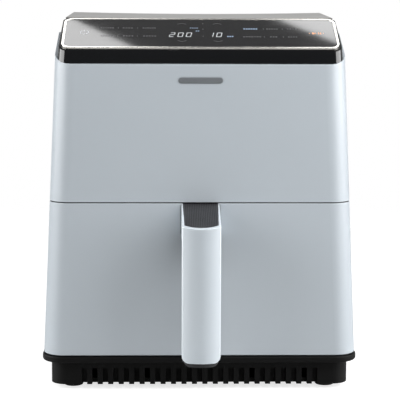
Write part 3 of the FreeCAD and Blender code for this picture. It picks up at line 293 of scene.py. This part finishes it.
FINISHES = {
    "housing_paint": housing_paint(),
    "top_satin": top_satin(),
    "gloss_black": gloss_black(),
    "panel_glass": panel_glass(),
    "bright_trim": bright_trim(),
    "badge_metal": badge_metal(),
    "base_black": moulded("base_black", (0.003, 0.003, 0.003), 0.5, 0.0009, 0.00003, Specular_IOR_Level=0.15),
    "dark_plastic": moulded("dark_plastic", (0.04, 0.041, 0.044), 0.45),
    "insert_plastic": ribbed_plastic(),
    "liner_plastic": moulded("liner_plastic", (0.014, 0.014, 0.0155), 0.45),
    "rubber": rubber(),
    "silicone": silicone(),
    "coated_steel": coated_steel(),
    "liner_steel": sheet_steel("liner_steel", (0.56, 0.555, 0.54), 0.25, 0.42),
    "plated_steel": sheet_steel("plated_steel", (0.62, 0.62, 0.61), 0.2, 0.35, (1, 1, 1)),
    "fan_aluminium": sheet_steel("fan_aluminium", (0.74, 0.745, 0.75), 0.28, 0.42, (1, 1, 1)),
    "heater_tube": heater_tube(),
    "circuit_board": circuit_board(),
    "insulation": insulation(),
    "switch_red": moulded("switch_red", (0.42, 0.03, 0.02), 0.35),
    "lit_white": lit_print("lit_white", (0.68, 0.7, 0.72), 0.25),
    "lit_grey": lit_print("lit_grey", (0.6, 0.62, 0.65), 0.15),
    "lit_blue": lit_print("lit_blue", (0.3, 0.4, 0.55), 0.3),
    "lit_copper": lit_print("lit_copper", (0.75, 0.36, 0.2), 0.5),
    "dim_print": lit_print("dim_print", (0.135, 0.135, 0.14), 0.0),
}

NODE_FINISH = {
    "housing_paint": ("upper_shell", "drawer_front", "handle_shell"),
    "top_satin": ("top_plate",),
    "gloss_black": ("top_band",),
    "panel_glass": ("control_glass",),
    "bright_trim": ("panel_ring",),
    "badge_metal": ("badge",),
    "base_black": ("base_ring", "bottom_plate"),
    "dark_plastic": (
        "rear_cover",
        "cavity_fascia",
        "display_module",
        "buzzer",
        "drawer_back_plate",
        "cooling_fan",
        "thermal_cutout",
        "drawer_switch",
    ),
    "insert_plastic": ("handle_insert",),
    "liner_plastic": ("handle_liner",),
    "rubber": ("cord_inlet", "foot_front_left", "foot_front_right", "foot_rear_left", "foot_rear_right"),
    "silicone": (
        "tray_bumper_front_left",
        "tray_bumper_front_right",
        "tray_bumper_rear_left",
        "tray_bumper_rear_right",
    ),
    "coated_steel": ("basket", "crisper_tray"),
    "liner_steel": (
        "cavity_liner",
        "rail_left",
        "rail_right",
        "heater_guard",
        "motor_bracket",
        "motor_shaft",
        "temperature_sensor",
    ),
    "plated_steel": (
        "touch_springs",
        "motor",
        "motor_screws",
        "base_screws",
        "rear_screws",
        "handle_screws",
        "basket_screws",
    ),
    "fan_aluminium": ("hot_air_fan", "lower_reflector"),
    "heater_tube": ("upper_heater", "lower_heater"),
    "circuit_board": ("power_board", "display_board"),
    "insulation": ("heat_shield",),
    "switch_red": ("switch_plunger",),
}


def dress_nodes():
    for finish, names in NODE_FINISH.items():
        for name in names:
            mesh = nodes[name].data
            mesh.materials.clear()
            mesh.materials.append(FINISHES[finish].material)
    bare = set(nodes) - {name for names in NODE_FINISH.values() for name in names}
    if bare:
        raise ValueError(f"nodes with no finish: {sorted(bare)}")


# ---- printing on the glass -----------------------------------------------------------------------


def glass_place():
    """A matrix from the glass's own plane (x across, y up the slope, in metres) to the row frame."""
    mesh = nodes["control_glass"].data
    upper = [face for face in mesh.polygons if face.normal.z > 0.5]
    top = max(upper, key=lambda face: face.center.dot(face.normal))
    normal = top.normal.normalized()
    low, high = (Vector(corner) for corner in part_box("control_glass"))
    middle = (low + high) / 2
    height = (top.center - middle).dot(normal)
    across = Vector((1, 0, 0))
    upward = normal.cross(across)
    place = Matrix((across, upward, normal)).transposed().to_4x4()
    place.translation = middle + normal * height
    return place


GLASS = glass_place()
PRINT_LIFT = 0.02 * MM
PRINT_THICK = 0.05 * MM


def print_shapes(name, outlines, finish):
    """Thin raised shapes on the glass from outlines in millimetres, each a ring of (across, up) points."""
    mesh = bmesh.new()
    lift = GLASS.to_3x3() @ Vector((0, 0, PRINT_THICK))
    for outline in outlines:
        ring = [mesh.verts.new(GLASS @ Vector((x * MM, y * MM, PRINT_LIFT))) for x, y in outline]
        face = mesh.faces.new(ring)
        raised = bmesh.ops.extrude_face_region(mesh, geom=[face])
        moved = [item for item in raised["geom"] if isinstance(item, bmesh.types.BMVert)]
        bmesh.ops.translate(mesh, vec=lift, verts=moved)
    bmesh.ops.recalc_face_normals(mesh, faces=mesh.faces)
    data = bpy.data.meshes.new(name)
    mesh.to_mesh(data)
    piece = bpy.data.objects.new(name, data)
    bpy.context.collection.objects.link(piece)
    data.materials.append(FINISHES[finish].material)
    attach(piece, "housing")


def bar(x, y, width, height, slant=0.0):
    """A rectangle about its middle, leaning right by slant times its height."""
    lean = slant * height / 2
    left, right = x - width / 2, x + width / 2
    low, high = y - height / 2, y + height / 2
    return [(left - lean, low), (right - lean, low), (right + lean, high), (left + lean, high)]


def arc_band(x, y, radius, width, start, end, steps=28):
    """A stretch of a ring, angles in degrees."""
    angles = [math.radians(start + (end - start) * step / steps) for step in range(steps + 1)]
    inside, outside = radius - width / 2, radius + width / 2
    outer = [(x + outside * math.cos(angle), y + outside * math.sin(angle)) for angle in angles]
    inner = [(x + inside * math.cos(angle), y + inside * math.sin(angle)) for angle in reversed(angles)]
    return outer + inner


DIGIT_SEGMENTS = {"0": "abcdef", "1": "bc", "2": "abdeg"}
DIGIT_WIDTH, DIGIT_HEIGHT, DIGIT_STROKE, DIGIT_SLANT = 4.7, 8.4, 0.65, 0.16
DIGIT_PITCH = 7.5
DIGIT_BREAK = 0.5  # what the upright strokes leave free between them


def digit(value, x, y):
    """The seven-segment strokes of one figure, leaning a little to the right."""
    wide, tall, stroke = DIGIT_WIDTH, DIGIT_HEIGHT, DIGIT_STROKE
    side, rise, upright = (wide - stroke) / 2, tall / 4, tall / 2 - DIGIT_BREAK
    strokes = {
        "a": (0, tall / 2 - stroke / 2, wide - 2 * stroke, stroke),
        "g": (0, 0, wide - 2 * stroke, stroke),
        "d": (0, stroke / 2 - tall / 2, wide - 2 * stroke, stroke),
        "f": (-side, rise, stroke, upright),
        "b": (side, rise, stroke, upright),
        "e": (-side, -rise, stroke, upright),
        "c": (side, -rise, stroke, upright),
    }
    shapes = []
    for segment in DIGIT_SEGMENTS[value]:
        dx, dy, width, height = strokes[segment]
        shapes.append(bar(x + dx + DIGIT_SLANT * dy, y + dy, width, height, DIGIT_SLANT))
    return shapes


def reading(text, x, y):
    """A row of figures, the first one about (x, y)."""
    shapes = []
    for index, value in enumerate(text):
        shapes += digit(value, x + index * DIGIT_PITCH, y)
    return shapes


def chevron(x, y, way):
    """A wide flat arrowhead, way 1 pointing up the slope and -1 down."""
    half, rise, stroke = 4.0, 1.9, 0.5
    tip, foot = y + way * rise / 2, y - way * rise / 2
    upper = [(x - half, foot), (x, tip), (x + half, foot)]
    lower = [(across, up - way * stroke) for across, up in reversed(upper)]
    return upper + lower if way < 0 else (upper + lower)[::-1]


def dashes(start, end, y, height=1.5):
    """A row of short bars between two places, standing for one key's caption."""
    pitch, filled = 2.3, 0.62
    count = max(2, round((end - start) / pitch))
    step = (end - start) / count
    return [bar(start + (index + 0.5) * step, y, step * filled, height) for index in range(count)]


# Where things are printed, in millimetres across and up the slope from the glass's middle.
READING_ROW = -3.5
READINGS = (("200", -25.2), ("10", 9.6))
POWER_KEY = (-104.3, 0.8)
START_KEY = (101.2, 0.0)
LIT_CAPTIONS = (  # start, end, row, height
    (39.0, 52.3, 8.5, 2.0),
    (23.7, 30.0, -6.7, 1.8),
    (-9.6, -1.5, 10.0, 1.0),
    (-4.2, -0.5, 4.1, 1.4),
)
KEY_CAPTIONS = (  # row, then each caption's start and end
    (9.8, ((-90.4, -77.7), (-70.4, -60.4), (-52.3, -39.6))),
    (-6.3, ((-89.4, -76.8), (-69.7, -59.8), (-51.7, -39.1))),
    (8.5, ((59.7, 71.1), (78.3, 88.3))),
    (-7.3, ((38.0, 55.1), (62.2, 69.4), (78.4, 87.4))),
)
KEY_DIVIDERS = (  # columns, rows
    ((-74, -56.5), (9.8, -6.3)),
    ((57.5, 74.6), (8.5, -7.3)),
)
CHEVRON_COLUMNS = (-16.5, 15.8)
CHEVRON_ROWS = ((19.0, 1), (-16.3, -1))
DIVIDER_SIZE = (0.35, 2.6)
DOT_SIZE = 0.9
DOT_COLUMN = 2.6
DOT_ROWS = (19.0, 8.0, -6.3)


def power_key(x, y):
    """An open ring with a short stroke in its gap."""
    radius, stroke = 3.5, 0.75
    return [arc_band(x, y, radius, stroke, 125, 415), bar(x, y + 2.4, stroke, 3.0)]


def start_key(x, y):
    """A triangle and two upright bars, between two dots."""
    reach, half, stroke = 3.8, 2.1, 0.8
    shapes = [[(x, y - half), (x + reach, y), (x, y + half)]]
    shapes += [bar(x + offset, y, stroke, 4.0) for offset in (5.8, 7.6)]
    return shapes + [bar(x + offset, y, stroke, stroke) for offset in (-2.6, 10.0)]


def print_panel():
    """Everything that is printed on the glass or lit behind it."""
    lit = [shape for text, start in READINGS for shape in reading(text, start, READING_ROW)]
    print_shapes("panel_readings", lit, "lit_white")
    print_shapes("panel_power_key", power_key(*POWER_KEY), "lit_grey")
    blue = [shape for caption in LIT_CAPTIONS for shape in dashes(*caption)]
    print_shapes("panel_lit_captions", blue, "lit_blue")
    print_shapes("panel_start_key", start_key(*START_KEY), "lit_copper")
    dim = [shape for row, spans in KEY_CAPTIONS for span in spans for shape in dashes(*span, row)]
    dim += [bar(x, y, *DIVIDER_SIZE) for columns, rows in KEY_DIVIDERS for x in columns for y in rows]
    dim += [chevron(x, y, way) for y, way in CHEVRON_ROWS for x in CHEVRON_COLUMNS]
    dim += [bar(DOT_COLUMN, y, DOT_SIZE, DOT_SIZE) for y in DOT_ROWS]
    print_shapes("panel_dim_captions", dim, "dim_print")


# ---- light, floor and camera ---------------------------------------------------------------------


def aim(thing, place, target):
    thing.location = place
    thing.rotation_euler = (Vector(target) - Vector(place)).to_track_quat("-Z", "Y").to_euler()


def area_light(name, width, height, radiance):
    """A rectangular softbox of a given brightness, whatever its size."""
    light = bpy.data.lights.new(name, "AREA")
    light.shape = "RECTANGLE"
    light.size = width
    light.size_y = height
    light.energy = radiance * math.pi * width * height
    thing = bpy.data.objects.new(name, light)
    thing.visible_camera = False
    bpy.context.collection.objects.link(thing)
    return thing


def soft_light(name, place, target, width, height, radiance):
    """A softbox at a place, turned to a target."""
    thing = area_light(name, width, height, radiance)
    aim(thing, place, target)
    return thing


def mirrored(x, y, reach):
    """The point this far along the camera's sight line, mirrored at a place on the glass in millimetres."""
    eye = bpy.context.scene.camera.location
    point = GLASS @ Vector((x * MM, y * MM, 0))
    normal = (GLASS.to_3x3() @ Vector((0, 0, 1))).normalized()
    sight = (point - eye).normalized()
    return point + reach * sight.reflect(normal)


def light_only(thing, names):
    """Lets a light fall on the named CAD nodes and nothing else."""
    chosen = bpy.data.collections.new(f"{thing.name}_lit")
    for name in names:
        chosen.objects.link(nodes[name])
    thing.light_linking.receiver_collection = chosen


def keep_off(thing, name):
    """Keeps a light off one CAD node."""
    spared = bpy.data.collections.new(f"{thing.name}_spared")
    spared.objects.link(nodes[name])
    spared.collection_objects[0].light_linking.link_state = "EXCLUDE"
    thing.light_linking.receiver_collection = spared


def glass_light(name, start, end, radiance, width=1.4, reach=1.5):
    """A softbox for the panel alone, mirrored to one side of a line across it, in glass millimetres."""
    first, last = mirrored(*start, reach), mirrored(*end, reach)
    along = (last - first).normalized()
    middle = (first + last) / 2
    facing = (middle - GLASS.translation).normalized()
    side = facing.cross(along).normalized()
    thing = area_light(name, (last - first).length, width, radiance)
    turn = Matrix((along, side, facing)).transposed()
    thing.matrix_world = Matrix.Translation(middle + side * width / 2) @ turn.to_4x4()
    light_only(thing, ("control_glass", "panel_ring"))


WORLD_FRONT = 0.12
WORLD_BACK = 0.54
WORLD_TURN = (0.3, 1.0)  # how far to the back a direction points where the brightening starts and ends


def light_world():
    """Brighter behind the object than elsewhere, and plain white where the camera sees it."""
    world = bpy.data.worlds.new("studio")
    world.use_nodes = True
    tree = world.node_tree
    around = tree.nodes["Background"]
    around.inputs["Color"].default_value = (1, 1, 1, 1)
    backdrop = tree.nodes.new("ShaderNodeBackground")
    backdrop.inputs["Color"].default_value = (1, 1, 1, 1)
    direction = tree.nodes.new("ShaderNodeTexCoord").outputs["Generated"]
    split = tree.nodes.new("ShaderNodeSeparateXYZ")
    span = tree.nodes.new("ShaderNodeMapRange")
    span.inputs["From Min"].default_value, span.inputs["From Max"].default_value = WORLD_TURN
    span.inputs["To Min"].default_value = WORLD_FRONT
    span.inputs["To Max"].default_value = WORLD_BACK
    seen = tree.nodes.new("ShaderNodeLightPath")
    mix = tree.nodes.new("ShaderNodeMixShader")
    tree.links.new(direction, split.inputs["Vector"])
    tree.links.new(split.outputs["Y"], span.inputs["Value"])
    tree.links.new(span.outputs["Result"], around.inputs["Strength"])
    tree.links.new(seen.outputs["Is Camera Ray"], mix.inputs["Fac"])
    tree.links.new(around.outputs["Background"], mix.inputs[1])
    tree.links.new(backdrop.outputs["Background"], mix.inputs[2])
    tree.links.new(mix.outputs["Shader"], tree.nodes["World Output"].inputs["Surface"])
    bpy.context.scene.world = world


def light_scene():
    """Softboxes on both sides, one above the front, a weak one before it, and some for single pieces only."""
    body, upper_front, handle = (0, 0, 0.2), (0.03, -0.1, 0.28), (0, -0.18, 0.12)
    keep_off(soft_light("key_left", (-1.6, -0.26, 0.75), body, 1.8, 1.3, 5.3), "top_plate")
    keep_off(soft_light("key_right", (1.6, -0.39, 0.75), body, 1.8, 1.3, 5.5), "top_plate")
    light_only(soft_light("plate_light", (0, 0.1, 1.6), body, 1.6, 1.6, 1.65), ("top_plate",))
    soft_light("top_light", (0.5, -0.65, 0.85), upper_front, 1.0, 0.35, 5.0)
    soft_light("fill_light", (0.8, -2.3, 1.8), body, 2.0, 1.0, 0.35)
    for side, across in (("left", -1.2), ("right", 1.2)):
        thing = soft_light(f"handle_light_{side}", (across, -0.02, 0.3), handle, 0.5, 1.0, 8.0)
        thing.data.color = (1, 0.96, 0.91)
        light_only(thing, ("handle_shell",))
    glass_light("glass_light_left", (-47, -26), (-232, 124), 4.8)
    glass_light("glass_light_right", (68, 27), (302, -189), 5.2)
    light_world()


FLOOR_RADIUS = 1.1
FLOOR_FADE = 0.45  # the share of the radius where the floor starts to fade
FLOOR_GLOW = 0.75


def make_floor():
    """A round pale floor, lifted to plain white where the camera sees it and faded out at its rim."""
    mesh = bmesh.new()
    bmesh.ops.create_circle(mesh, cap_ends=True, radius=FLOOR_RADIUS, segments=96)
    data = bpy.data.meshes.new("floor")
    mesh.to_mesh(data)
    floor = bpy.data.objects.new("floor", data)
    bpy.context.collection.objects.link(floor)
    paper = Finish("floor_paper", (0.48, 0.48, 0.48), 0.6)
    paper.vary(0.4, 0.01)
    paper.smudge(0.2, 0.55, 0.65)
    paper.relief(paper.noise(0.002), 0.00002, 0.3)
    distance = paper.node("ShaderNodeVectorMath", operation="LENGTH")
    paper.join(paper.place, distance.inputs[0])
    fade = paper.span(distance.outputs["Value"], 1, 0, FLOOR_FADE * FLOOR_RADIUS, FLOOR_RADIUS)
    paper.join(fade, paper.shader.inputs["Alpha"])
    paper.shader.inputs["Emission Color"].default_value = (1, 1, 1, 1)
    seen = paper.node("ShaderNodeLightPath").outputs["Is Camera Ray"]
    glow = paper.span(seen, 0, FLOOR_GLOW, 0, 1)
    paper.join(glow, paper.shader.inputs["Emission Strength"])
    floor.data.materials.append(paper.material)


CAMERA_BACK = 1.230  # from the drawer's front face
CAMERA_HEIGHT = 0.3404
CAMERA_PITCH = math.radians(7.67)
CAMERA_SIDE = math.radians(1.35)
CAMERA_ROLL = math.radians(0.2)
CAMERA_LENS = 125.7
CAMERA_NUDGE = -0.0005  # where the camera's line meets that face, across


def make_camera():
    """Stands a little to the left of the front's middle, level with the top plate, looking slightly down."""
    camera = bpy.data.cameras.new("camera")
    camera.lens = CAMERA_LENS
    camera.sensor_width = 36
    camera.clip_end = 30
    thing = bpy.data.objects.new("camera", camera)
    bpy.context.collection.objects.link(thing)
    face = Vector((CAMERA_NUDGE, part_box("drawer_front")[0][1], 0))
    back = Vector((-math.sin(CAMERA_SIDE), -math.cos(CAMERA_SIDE), 0))
    place = face + back * CAMERA_BACK + Vector((0, 0, CAMERA_HEIGHT))
    yaw = Matrix.Rotation(-CAMERA_SIDE, 4, "Z")
    pitch = Matrix.Rotation(math.pi / 2 - CAMERA_PITCH, 4, "X")
    roll = Matrix.Rotation(CAMERA_ROLL, 4, "Z")
    thing.matrix_world = Matrix.Translation(place) @ yaw @ pitch @ roll
    bpy.context.scene.camera = thing


dress_nodes()
print_panel()
make_floor()
make_camera()
light_scene()
bpy.context.scene.view_settings.view_transform = "Standard"
